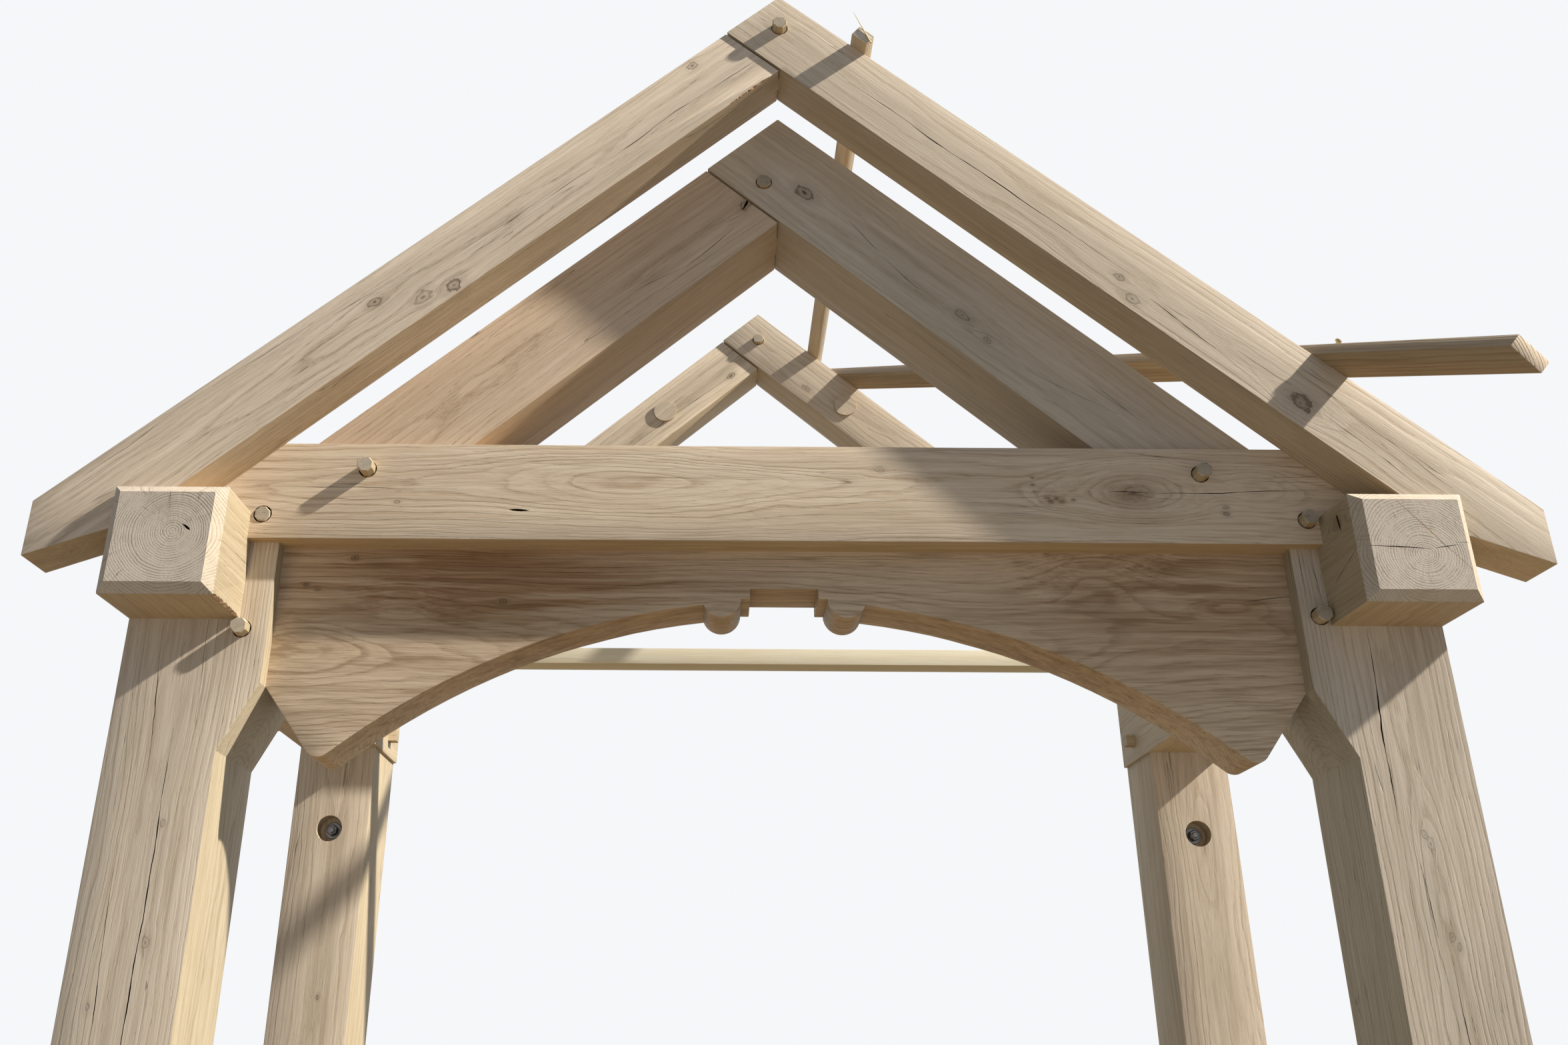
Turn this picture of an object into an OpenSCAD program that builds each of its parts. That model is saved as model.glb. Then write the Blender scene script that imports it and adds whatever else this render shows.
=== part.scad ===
// Green-oak porch canopy: a pegged timber frame on four posts, the rear pair bolted to a wall.
// X runs across the porch, Y towards the wall and Z up. The origin is on the ground, in the
// middle of everything that the frame covers. Inside the modules Y is counted from the front
// face of the front posts and X from the middle of the entrance.

/* [Frame] */
// Width over the outer faces of the posts
frame_w = 1850; // [1500:10:2400]
// Depth from the front posts' front faces to the wall
frame_d = 985; // [850:5:1400]
// Height of the eaves plates' underside above the ground
eaves_h = 2100; // [1950:10:2400]
// Pitch of the roof in degrees
pitch = 41; // [38:1:46]

/* [Posts] */
// Width of every post across the porch
post_w = 150; // [140:1:165]
// Depth of the front posts
post_d = 150; // [130:1:180]
// Depth of the wall posts
wall_post_d = 155; // [100:1:180]
// Width of the flared head of a front post
jowl_w = 197; // [190:1:205]
// Upright part of the flared head below the plate
jowl_drop = 92; // [60:1:130]
// Height of the splay between shaft and flared head
jowl_splay_h = 95; // [60:1:140]

/* [Eaves plates] */
// Width of a plate
plate_w = 156; // [150:1:165]
// Height of a plate
plate_h = 156; // [130:1:180]
// How far the plates stand out in front of the posts
plate_out = 120; // [100:1:200]
// Chamfer round the front end of a plate
plate_chamfer = 13; // [4:1:25]

/* [Tie beam] */
// Height of the tie beam
tie_h = 150; // [140:1:180]
// Thickness of the tie beam
tie_t = 160; // [140:1:180]
// How far the tie beam stands proud of the front posts
tie_proud = 18; // [0:1:30]
// Depth that the tie beam's ends are let down into the plates
tie_let_in = 40; // [25:1:55]
// Narrowing of the lap dovetail on each side
dovetail_in = 20; // [10:1:30]

/* [Arch board] */
// Thickness of the arch board
arch_t = 85; // [60:1:95]
// Set-back of the arch board behind the posts' front faces
arch_back = 24; // [10:1:35]
// Radius of the arch
arch_r = 1000; // [960:5:1100]
// Wood left between the tie beam and the crown of the arch
crown_drop = 76; // [66:1:100]
// Radius of the rounded toes of the arch
toe_r = 20; // [10:1:26]
// Distance of a toe's centre from the end of the board
toe_in = 83; // [70:1:95]
// Width of the flat notch in the crown
notch_w = 98; // [70:1:110]
// Wood left above the notch
notch_drop = 58; // [45:1:64]
// Width over the small square steps beside the notch
step_w = 124; // [115:1:150]
// Wood left above the steps, and height of the round cusps' centres
step_drop = 73; // [66:1:76]
// Radius of the round cusps beside the notch
cusp_r = 28; // [22:1:34]

/* [Rafters] */
// Height of the roof plane above a plate's top, at its outer edge
heel_h = 90; // [70:1:120]
// How far the rafter tails reach out past the plates
tail_out = 121; // [80:1:160]
// Length of the plumb cut on a tail
tail_plumb = 81; // [60:1:90]
// Slope in degrees of a tail's underside
tail_slope = 20; // [10:1:30]
// Thickness of the front barge rafters
barge_t = 75; // [50:1:80]
// Depth of the front barge rafters
barge_depth = 112; // [95:1:125]
// Thickness of the principal rafters over the tie beam
principal_t = 140; // [100:1:150]
// Depth of the principal rafters
principal_depth = 152; // [130:1:170]
// Distance from the middle to the back of a principal rafter's foot
principal_foot_x = 705; // [660:1:720]
// Thickness of the rafters against the wall
wall_rafter_t = 88; // [60:1:100]
// Depth of the rafters against the wall
wall_rafter_depth = 107; // [95:1:125]

/* [Joints and pegs] */
// Thickness of the tenons on posts, arch board and principal rafters
tenon_t = 40; // [30:1:50]
// Length of the post and rafter tenons
tenon_len = 60; // [40:1:80]
// Length of the arch board's tenons
arch_tenon_len = 80; // [60:1:100]
// Width across the flats of the round-hole pegs
peg_w = 24; // [18:1:28]
// Width of the square pegs over the wall posts
square_peg_w = 22; // [16:1:26]
// Width of the open joint at a left-hand rafter's shoulders
ridge_gap = 2.5; // [0:0.5:4]
// How far a right-hand rafter's face stands out past the left-hand one
ridge_step = 3; // [0:0.5:6]
// The same for the rafters against the wall
wall_ridge_step = 5; // [0:0.5:8]
// Play between a tenon or peg and its hole
play = 0.3; // [0.1:0.1:0.6]

/* [Tenon shoulders] */
// Set-back of a post's tenon from its front and back
post_tenon_in = 20; // [10:1:30]
// Set-back of the flared head's tenon from the head's two sides
jowl_tenon_in = 6; // [2:1:12]
// Set-back of an arch tenon from the board's lower end
arch_tenon_in = 8; // [4:1:20]
// Height of an arch tenon's haunch above the plate's underside
haunch_h = 38; // [20:1:50]
// Distance of the haunch's end from the plate
haunch_in = 2; // [1:0.5:6]
// Depth by which the long part of an arch tenon stays below the plate
haunch_drop = 4; // [2:1:10]
// Set-back of a principal rafter's tenon from the back of its foot
foot_tenon_in = 25; // [15:1:40]
// Length of that tenon along the tie beam
foot_tenon_l = 140; // [100:1:150]

/* [Places of the pegs] */
// Distance of the barge rafters' peg below the ridge
barge_peg_drop = 66; // [50:1:90]
// Distance of the principal rafters' peg below their ridge
principal_peg_drop = 127; // [90:1:140]
// Distance of that peg to the left of the middle
principal_peg_left = 24; // [0:1:40]
// Distance of the wall rafters' peg below the ridge
wall_rafter_peg_drop = 70; // [50:1:90]
// Distance of a foot peg from the back of the principal rafter's foot
foot_peg_in = 97; // [70:1:120]
// Distance of a foot peg below the tie beam's top
foot_peg_drop = 41; // [25:1:50]
// Distance of a tie peg from the post's outer face
tie_peg_in = 173; // [168:1:180]
// Distance of a tie peg below the plate's top
tie_peg_drop = 3; // [-6:1:8]
// Distance of the left head peg from the post's outer face
head_peg_left_in = 161; // [150:1:175]
// Distance of the left head peg below the plates
head_peg_left_drop = 14; // [6:1:40]
// Distance of the right head peg from the post's outer face
head_peg_right_in = 170; // [150:1:175]
// Distance of the right head peg above the plates' underside
head_peg_right_rise = 14; // [0:1:20]
// Distance of a square peg above the plate's underside
plate_peg_rise = 40; // [25:1:48]
// Wood left behind a blind peg hole
blind_wood = 14; // [8:1:20]
// Wood left between a square peg and the plate's outer face
plate_peg_wood = 30; // [20:1:50]

/* [How far the pegs stand out] */
// Peg of the barge rafters
barge_peg_out = 15; // [4:1:30]
// Peg of the principal rafters
principal_peg_out = 6; // [2:1:30]
// Peg of the rafters against the wall
wall_rafter_peg_out = 10; // [2:1:30]
// Pegs through the principal rafters' feet
foot_peg_out = 20; // [4:1:30]
// Left tie peg
tie_peg_left_out = 2; // [1:1:30]
// Right tie peg
tie_peg_right_out = 16; // [1:1:30]
// Pegs through the flared heads and the arch board
head_peg_out = 18; // [4:1:30]
// Square pegs over the wall posts
plate_peg_out = 17; // [4:1:30]

/* [Wall fixings] */
// Diameter of the counterbores in the wall posts
counterbore_d = 50; // [40:1:60]
// Depth of the counterbores
counterbore_h = 32; // [20:1:50]
// Diameter of the wall bolts
bolt_d = 12; // [8:1:16]
// Diameter of the washers
washer_d = 32; // [26:1:38]
// Thickness of the washers
washer_t = 2.5; // [1.5:0.5:4]
// Width across the flats of the nuts
nut_w = 19; // [18:1:24]
// Height of the nuts
nut_h = 10; // [8:1:12]
// How far a bolt stands out of its nut
stud_out = 4; // [2:1:8]
// Distance of the upper bolts below the plates
upper_bolt_drop = 160; // [120:5:400]
// Height of the lower bolts above the ground
lower_bolt_z = 450; // [200:10:900]
// Diameter of the plugs in the wall rafters
plug_d = 50; // [36:1:54]
// Depth of the plug holes
plug_h = 25; // [15:1:40]
// Distance of the left plug from the middle of the porch
plug_left_x = 214; // [150:1:400]
// Distance of the right plug from the middle of the porch
plug_right_x = 197; // [150:1:400]
// How far a plug stands out
plug_out = 5; // [2:1:20]

/* [Temporary battens] */
// Width of the level batten on the right-hand slope
ridge_batten_w = 30; // [20:1:50]
// Thickness of that batten
ridge_batten_t = 20; // [15:1:30]
// Its distance from the ridge, measured level
ridge_batten_x = 114; // [60:1:200]
// How far it stands out in front of the barge rafters
ridge_batten_out = 24; // [0:1:60]
// Width of the diagonal brace on the right-hand slope
brace_w = 47; // [38:1:60]
// Thickness of the diagonal brace
brace_t = 22; // [18:1:30]
// Distance down the slope at which it crosses the front of the wall rafters
brace_top = 272; // [240:1:500]
// Distance down the slope at which it crosses the front of the barge rafters
brace_foot = 1045; // [800:1:1080]
// How far the brace stands out in front of the barge rafters
brace_out = 226; // [100:2:240]
// Angle in degrees between its skewed front end and the barge rafters
brace_end_angle = 13; // [0:1:30]
// Gap between its upper end and the wall
brace_wall_gap = 40; // [30:1:80]
// Height of the spreader batten
spreader_h = 32; // [20:1:45]
// Depth of the spreader batten
spreader_d = 50; // [38:1:75]
// Gap between the spreader batten and the wall posts
spreader_gap = 24; // [5:1:100]
// Distance of its ends from the plates' outer faces
spreader_in = 20; // [0:1:60]

/* [Hidden] */
$fn = 48;

left = -1;
right = 1;
eps = 1;
peg_sides = 8;
half_w = frame_w / 2;
shaft_x = half_w - post_w;
jowl_x = half_w - jowl_w;
plate_x = half_w - plate_w;
plate_top = eaves_h + plate_h;
tie_z = plate_top - tie_let_in;
tie_top = tie_z + tie_h;
tie_y = -tie_proud;
tie_back = tie_y + tie_t;
wall_post_y = frame_d - wall_post_d;
wall_post_mid_y = wall_post_y + wall_post_d / 2;
slope = tan(pitch);
ridge_z = plate_top + heel_h + half_w * slope;
principal_ridge_z = tie_top + principal_foot_x * slope;
tail_x = half_w + tail_out;
barge_y = tie_y - barge_t;
principal_y = tie_back - principal_t;
wall_rafter_y = frame_d - wall_rafter_t;
arch_mid_y = arch_back + arch_t / 2;
arch_z = tie_z - crown_drop - arch_r;
peg_r = peg_w / 2 / cos(180 / peg_sides);
peg_hole_r = peg_r + play;
brace_front_y = barge_y - brace_out;
mid_y = (brace_front_y + frame_d) / 2;

// Peg places, seen from the front: [x, z] or [y, z]
barge_peg_at = [0, ridge_z - barge_peg_drop];
principal_peg_at = [-principal_peg_left, principal_ridge_z - principal_peg_drop];
wall_rafter_peg_at = [0, ridge_z - wall_rafter_peg_drop];
foot_peg_at = [principal_foot_x - foot_peg_in, tie_top - foot_peg_drop];
tie_peg_at = [half_w - tie_peg_in, plate_top - tie_peg_drop];
head_peg_left_at = [half_w - head_peg_left_in, eaves_h - head_peg_left_drop];
head_peg_right_at = [half_w - head_peg_right_in, eaves_h + head_peg_right_rise];
plate_peg_at = [wall_post_mid_y, eaves_h + plate_peg_rise];

oak = [0.78, 0.66, 0.50];
pale_oak = [0.84, 0.72, 0.52];
softwood = [0.90, 0.80, 0.55];
steel = [0.62, 0.63, 0.65];

// Puts the frame's own origin where the finished porch has it
module placed() {
    translate([0, -mid_y, 0]) children();
}

// Turns a right-hand piece into a left-hand one
module on_side(side) {
    mirror([side == left ? 1 : 0, 0, 0]) children();
}

// Stands an outline in the XZ plane up and gives it a thickness from y towards the wall
module upright(y, thickness) {
    translate([0, y + thickness, 0]) rotate([90, 0, 0]) linear_extrude(thickness) children();
}

// A box from one corner to the opposite one
module block(low, high) {
    translate(low) cube(high - low);
}

// Round hole along Y, from y0 to y1
module hole_y(at, r, y0, y1) {
    translate([at[0], y1, at[1]]) rotate([90, 0, 0]) cylinder(r = r, h = y1 - y0);
}

// Eight-sided cleft peg along Y, from y0 to just short of its hole's end
module peg_y(at, y0, hole_end) {
    y1 = hole_end - eps;
    translate([at[0], y1, at[1]]) rotate([90, 0, 0]) rotate(180 / peg_sides)
        cylinder(r = peg_r, h = y1 - y0, $fn = peg_sides);
}

// Tenon of a post's head under its plate, grown by play for the mortise
module post_tenon(y0, y1, grow) {
    mid_x = half_w - plate_w / 2;
    block([mid_x - tenon_t / 2 - grow, y0 + post_tenon_in - grow, eaves_h - eps],
          [mid_x + tenon_t / 2 + grow, y1 - post_tenon_in + grow, eaves_h + tenon_len + grow]);
}

// Tenon of the flared head under the tie beam, grown by play for the mortise
module jowl_tenon(grow) {
    block([jowl_x + jowl_tenon_in - grow, post_d / 2 - tenon_t / 2 - grow, tie_z - eps],
          [plate_x - jowl_tenon_in + grow, post_d / 2 + tenon_t / 2 + grow,
           tie_z + tenon_len + grow]);
}

// Haunched tenon of the arch board: long in the post, short in the flared head
module arch_tenon(grow) {
    y0 = arch_mid_y - tenon_t / 2 - grow;
    y1 = arch_mid_y + tenon_t / 2 + grow;
    long_top = eaves_h - haunch_drop;
    block([jowl_x - eps, y0, eaves_h - jowl_drop + arch_tenon_in - grow],
          [jowl_x + arch_tenon_len + grow, y1, long_top]);
    block([jowl_x - eps, y0, long_top - eps],
          [plate_x - haunch_in + grow, y1, eaves_h + haunch_h + grow]);
}

// Lap dovetail of the tie beam in the plate's top, narrow at the plate's inner face
module tie_dovetail(grow) {
    translate([0, 0, tie_z - grow]) linear_extrude(tie_let_in + grow + eps) polygon([
        [plate_x - grow, tie_y + dovetail_in - grow], [half_w + eps, tie_y - grow],
        [half_w + eps, tie_back + grow], [plate_x - grow, tie_back - dovetail_in + grow]
    ]);
}

// Tenon at a principal rafter's foot, grown by play for the mortise
module foot_tenon(grow) {
    x1 = principal_foot_x - foot_tenon_in;
    tenon_y = principal_y + principal_t / 2;
    block([x1 - foot_tenon_l - grow, tenon_y - tenon_t / 2 - grow, tie_top - tenon_len - grow],
          [x1 + grow, tenon_y + tenon_t / 2 + grow, tie_top + eps]);
}

module front_post(head_peg_at) {
    color(oak) difference() {
        union() {
            upright(0, post_d) polygon([
                [half_w, 0], [shaft_x, 0],
                [shaft_x, eaves_h - jowl_drop - jowl_splay_h], [jowl_x, eaves_h - jowl_drop],
                [jowl_x, tie_z], [plate_x, tie_z], [plate_x, eaves_h], [half_w, eaves_h]
            ]);
            post_tenon(0, post_d, 0);
            jowl_tenon(0);
        }
        arch_tenon(play);
        hole_y(head_peg_at, peg_hole_r, -eps, arch_mid_y + tenon_t);
        hole_y(tie_peg_at, peg_hole_r, -eps, tie_back - blind_wood);
    }
}

module wall_post() {
    bolts_z = [eaves_h - upper_bolt_drop, lower_bolt_z];
    color(oak) difference() {
        union() {
            block([shaft_x, wall_post_y, 0], [half_w, frame_d, eaves_h]);
            post_tenon(wall_post_y, frame_d, 0);
        }
        for (z = bolts_z) {
            at = [half_w - post_w / 2, z];
            hole_y(at, counterbore_d / 2, wall_post_y - eps, wall_post_y + counterbore_h);
            hole_y(at, bolt_d / 2 + play, wall_post_y, frame_d + eps);
        }
        plate_peg_body(play);
    }
}

// Square peg through a plate's inner face and the wall post's tenon
module plate_peg_body(grow) {
    half = square_peg_w / 2 + grow;
    block([plate_x - plate_peg_out, plate_peg_at[0] - half, plate_peg_at[1] - half],
          [half_w - plate_peg_wood + grow, plate_peg_at[0] + half, plate_peg_at[1] + half]);
}

// A plate's plain length with the chamfer round its front end
module plate_body() {
    c = plate_chamfer;
    intersection() {
        block([plate_x, -plate_out, eaves_h], [half_w, frame_d, plate_top]);
        translate([0, 0, eaves_h - eps]) linear_extrude(plate_h + 2 * eps) polygon([
            [plate_x + c, -plate_out], [half_w - c, -plate_out], [half_w, -plate_out + c],
            [half_w, frame_d], [plate_x, frame_d], [plate_x, -plate_out + c]
        ]);
        translate([plate_x - eps, 0, 0]) rotate([90, 0, 90]) linear_extrude(plate_w + 2 * eps)
            polygon([
                [-plate_out, eaves_h + c], [-plate_out + c, eaves_h], [frame_d, eaves_h],
                [frame_d, plate_top], [-plate_out + c, plate_top], [-plate_out, plate_top - c]
            ]);
    }
}

module eaves_plate() {
    color(oak) difference() {
        plate_body();
        post_tenon(0, post_d, play);
        post_tenon(wall_post_y, frame_d, play);
        tie_dovetail(play);
        plate_peg_body(play);
    }
}

module tie_beam() {
    top_corner_x = (ridge_z - tie_top) / slope;
    end_z = ridge_z - half_w * slope;
    color(oak) difference() {
        union() {
            upright(tie_y, tie_t) polygon([
                [-plate_x, tie_z], [plate_x, tie_z], [plate_x, plate_top], [half_w, plate_top],
                [half_w, end_z], [top_corner_x, tie_top],
                [-top_corner_x, tie_top], [-half_w, end_z],
                [-half_w, plate_top], [-plate_x, plate_top]
            ]);
            for (side = [left, right]) on_side(side) intersection() {
                tie_dovetail(0);
                block([plate_x, tie_y, tie_z], [half_w, tie_back, plate_top]);
            }
        }
        for (side = [left, right]) on_side(side) {
            jowl_tenon(play);
            foot_tenon(play);
            hole_y(tie_peg_at, peg_hole_r, tie_y - eps, tie_back - blind_wood);
            hole_y(foot_peg_at, peg_hole_r, tie_y - eps, tie_back - blind_wood);
        }
    }
}

// Outline of the arch board, from the tie beam down to the rounded toes
module arch_outline() {
    end_z = eaves_h - jowl_drop;
    toe_x = jowl_x - toe_in;
    reach = arch_r + toe_r;
    toe_z = arch_z + sqrt(reach * reach - toe_x * toe_x);
    to_end = [toe_in, end_z - toe_z];
    turn = atan2(to_end[1], to_end[0]) - acos(toe_r / norm(to_end));
    toe_out = [toe_x + toe_r * cos(turn), toe_z + toe_r * sin(turn)];
    toe_on_arch = [toe_x, toe_z - arch_z] * arch_r / reach + [0, arch_z];
    difference() {
        union() {
            polygon([
                [-jowl_x, tie_z], [jowl_x, tie_z], [jowl_x, end_z], toe_out, toe_on_arch,
                [-toe_on_arch[0], toe_on_arch[1]], [-toe_out[0], toe_out[1]], [-jowl_x, end_z]
            ]);
            for (side = [left, right]) translate([side * toe_x, toe_z]) circle(r = toe_r);
        }
        difference() {
            union() {
                translate([0, arch_z]) circle(r = arch_r, $fn = 240);
                translate([-step_w / 2, arch_z]) square([step_w, tie_z - step_drop - arch_z]);
                translate([-notch_w / 2, arch_z]) square([notch_w, tie_z - notch_drop - arch_z]);
            }
            for (side = [left, right])
                translate([side * (step_w / 2 + cusp_r), tie_z - step_drop]) circle(r = cusp_r);
        }
    }
}

module arch_board() {
    color(oak) difference() {
        union() {
            upright(arch_back, arch_t) arch_outline();
            for (side = [left, right]) on_side(side) arch_tenon(0);
        }
        on_side(left) hole_y(head_peg_left_at, peg_hole_r, 0, arch_mid_y + tenon_t);
        on_side(right) hole_y(head_peg_right_at, peg_hole_r, 0, arch_mid_y + tenon_t);
    }
}

// Right-hand rafter from its lower end to the ridge line; the lower end is given as points
module rafter_outline(top_z, depth, lower_end) {
    drop = depth / cos(pitch);
    polygon(concat([[0, top_z]], lower_end, [[0, top_z - drop]]));
}

// The diamond in which the two rafters of a pair cross at the ridge, its sides moved out by grow
module ridge_diamond(top_z, depth, grow) {
    mid_z = top_z - depth / cos(pitch) / 2;
    rise = (depth / 2 + grow) / cos(pitch);
    run = rise / slope;
    polygon([[0, mid_z + rise], [-run, mid_z], [0, mid_z - rise], [run, mid_z]]);
}

// Bridle joint: the right-hand rafter runs through with a slot, the left-hand one has the tongue,
// shoulders that stop short of the joint and a front face set back by step
module bridled(side, top_z, depth, y, thickness, step) {
    tongue = thickness / 3;
    cheek = tongue + eps;
    if (side == right) {
        difference() {
            union() {
                children();
                upright(y, thickness) ridge_diamond(top_z, depth, 0);
            }
            upright(y + tongue - play, tongue + 2 * play) ridge_diamond(top_z, depth, play);
        }
    } else {
        difference() {
            on_side(left) children();
            block([-tail_x - eps, y - eps, 0], [eps, y + step, ridge_z + eps]);
            upright(y - eps, cheek) ridge_diamond(top_z, depth, ridge_gap);
            upright(y + thickness - tongue, cheek) ridge_diamond(top_z, depth, ridge_gap);
        }
        upright(y + tongue, tongue) ridge_diamond(top_z, depth, 0);
    }
}

// Lower end of a rafter with a tail: plumb cut, then the flatter underside
function tail_points(depth) =
    let (drop = depth / cos(pitch))
    let (top = ridge_z - tail_x * slope)
    let (low = top - tail_plumb)
    let (flat = tan(tail_slope))
    let (kink_x = (ridge_z - drop - low - tail_x * flat) / (slope - flat))
    [[tail_x, top], [tail_x, low], [kink_x, low + (tail_x - kink_x) * flat]];

// A rafter that sits over the plates with a bird's mouth
module eaves_rafter(side, depth, y, thickness, step, peg_at) {
    color(oak) difference() {
        bridled(side, ridge_z, depth, y, thickness, step) difference() {
            upright(y, thickness) rafter_outline(ridge_z, depth, tail_points(depth));
            block([0, y - eps, 0], [half_w, y + thickness + eps, plate_top]);
        }
        hole_y(peg_at, peg_hole_r, y - eps, y + thickness - blind_wood);
    }
}

module barge_rafter(side) {
    eaves_rafter(side, barge_depth, barge_y, barge_t, ridge_step, barge_peg_at);
}

// Plug or plug hole in the middle of a wall rafter's depth
module plug_body(x, r, y0) {
    mid_z = ridge_z - wall_rafter_depth / cos(pitch) / 2 - x * slope;
    hole_y([x, mid_z], r, y0, wall_rafter_y + plug_h);
}

module wall_rafter(side, plug_x) {
    difference() {
        eaves_rafter(side, wall_rafter_depth, wall_rafter_y, wall_rafter_t, wall_ridge_step,
                     wall_rafter_peg_at);
        on_side(side) plug_body(plug_x, plug_d / 2, wall_rafter_y - eps);
    }
}

module principal_rafter(side) {
    drop = principal_depth / cos(pitch);
    foot = [
        [principal_foot_x, tie_top],
        [(principal_ridge_z - drop - tie_top) / slope, tie_top]
    ];
    color(oak) difference() {
        union() {
            bridled(side, principal_ridge_z, principal_depth, principal_y, principal_t, ridge_step)
                upright(principal_y, principal_t)
                    rafter_outline(principal_ridge_z, principal_depth, foot);
            on_side(side) foot_tenon(0);
        }
        hole_y(principal_peg_at, peg_hole_r, principal_y - eps, tie_back - blind_wood);
        on_side(side) hole_y(foot_peg_at, peg_hole_r, principal_y, tie_back - blind_wood);
    }
}

module barge_peg() {
    color(pale_oak) peg_y(barge_peg_at, barge_y - barge_peg_out, barge_y + barge_t - blind_wood);
}

module principal_peg() {
    color(pale_oak) peg_y(principal_peg_at, principal_y - principal_peg_out, tie_back - blind_wood);
}

module wall_rafter_peg() {
    color(pale_oak)
        peg_y(wall_rafter_peg_at, wall_rafter_y - wall_rafter_peg_out, frame_d - blind_wood);
}

module foot_peg() {
    color(pale_oak) peg_y(foot_peg_at, tie_y - foot_peg_out, tie_back - blind_wood);
}

module tie_peg(out) {
    color(pale_oak) peg_y(tie_peg_at, tie_y - out, tie_back - blind_wood);
}

module head_peg(at) {
    color(pale_oak) peg_y(at, -head_peg_out, arch_mid_y + tenon_t);
}

module plate_peg() {
    color(pale_oak) plate_peg_body(0);
}

module rafter_plug(x, face_y) {
    color(pale_oak) plug_body(x, plug_d / 2 - play, face_y - plug_out);
}

// Bolt with a washer on the counterbore's floor and a six-sided nut
module wall_bolt(z) {
    at = [half_w - post_w / 2, z];
    seat_y = wall_post_y + counterbore_h;
    nut_y = seat_y - washer_t;
    color(steel) {
        hole_y(at, bolt_d / 2, nut_y - nut_h - stud_out, frame_d);
        hole_y(at, washer_d / 2, nut_y, seat_y);
        translate([at[0], nut_y, at[1]]) rotate([90, 0, 0])
            cylinder(r = nut_w / 2 / cos(30), h = nut_h, $fn = 6);
    }
}

// Lays a piece on the right-hand slope: X down the slope, Y as it is, Z off the slope
module on_slope() {
    translate([0, 0, ridge_z]) rotate([0, pitch, 0]) children();
}

module ridge_batten() {
    from_ridge = ridge_batten_x / cos(pitch);
    color(softwood) on_slope()
        block([from_ridge, barge_y - ridge_batten_out, 0],
              [from_ridge + ridge_batten_w, frame_d, ridge_batten_t]);
}

// Straight brace in the plane of the slope, with a skewed front end
module diagonal_brace() {
    run = (brace_foot - brace_top) / (wall_rafter_y - barge_y);
    across = brace_w * sqrt(1 + run * run);
    back_y = frame_d - brace_wall_gap;
    front_s = brace_foot + brace_out * run - across / 2;
    back_s = brace_top - (back_y - wall_rafter_y) * run - across / 2;
    skew = tan(brace_end_angle);
    end_w = across / (1 + skew * run);
    color(softwood) on_slope() linear_extrude(brace_t) polygon([
        [front_s, brace_front_y], [front_s + end_w, brace_front_y + end_w * skew],
        [back_s + across, back_y], [back_s, back_y]
    ]);
}

module spreader_batten() {
    y1 = wall_post_y - spreader_gap;
    color(softwood)
        block([-half_w + spreader_in, y1 - spreader_d, plate_top],
              [half_w - spreader_in, y1, plate_top + spreader_h]);
}

placed() on_side(left) front_post(head_peg_left_at);  // front_post_left
placed() front_post(head_peg_right_at);  // front_post_right
placed() on_side(left) wall_post();  // wall_post_left
placed() wall_post();  // wall_post_right
placed() on_side(left) eaves_plate();  // eaves_plate_left
placed() eaves_plate();  // eaves_plate_right
placed() tie_beam();
placed() arch_board();
placed() barge_rafter(left);  // barge_rafter_left
placed() barge_rafter(right);  // barge_rafter_right
placed() principal_rafter(left);  // principal_rafter_left
placed() principal_rafter(right);  // principal_rafter_right
placed() wall_rafter(left, plug_left_x);  // wall_rafter_left
placed() wall_rafter(right, plug_right_x);  // wall_rafter_right
placed() barge_peg();
placed() principal_peg();
placed() wall_rafter_peg();
placed() on_side(left) foot_peg();  // foot_peg_left
placed() foot_peg();  // foot_peg_right
placed() on_side(left) tie_peg(tie_peg_left_out);  // tie_peg_left
placed() tie_peg(tie_peg_right_out);  // tie_peg_right
placed() on_side(left) head_peg(head_peg_left_at);  // head_peg_left
placed() head_peg(head_peg_right_at);  // head_peg_right
placed() on_side(left) plate_peg();  // plate_peg_left
placed() plate_peg();  // plate_peg_right
placed() on_side(left) rafter_plug(plug_left_x, wall_rafter_y + wall_ridge_step);  // rafter_plug_left
placed() rafter_plug(plug_right_x, wall_rafter_y);  // rafter_plug_right
placed() on_side(left) wall_bolt(eaves_h - upper_bolt_drop);  // upper_bolt_left
placed() wall_bolt(eaves_h - upper_bolt_drop);  // upper_bolt_right
placed() on_side(left) wall_bolt(lower_bolt_z);  // lower_bolt_left
placed() wall_bolt(lower_bolt_z);  // lower_bolt_right
placed() ridge_batten();
placed() diagonal_brace();
placed() spreader_batten();
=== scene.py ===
"""Looks of the porch canopy: planed green oak with its grain, checks and knots, cleft pegs,
softwood battens and zinc-plated fixings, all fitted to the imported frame."""
import math
import random

import bmesh
import bpy
from mathutils import Matrix, Vector, noise
from mathutils.bvhtree import BVHTree


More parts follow.
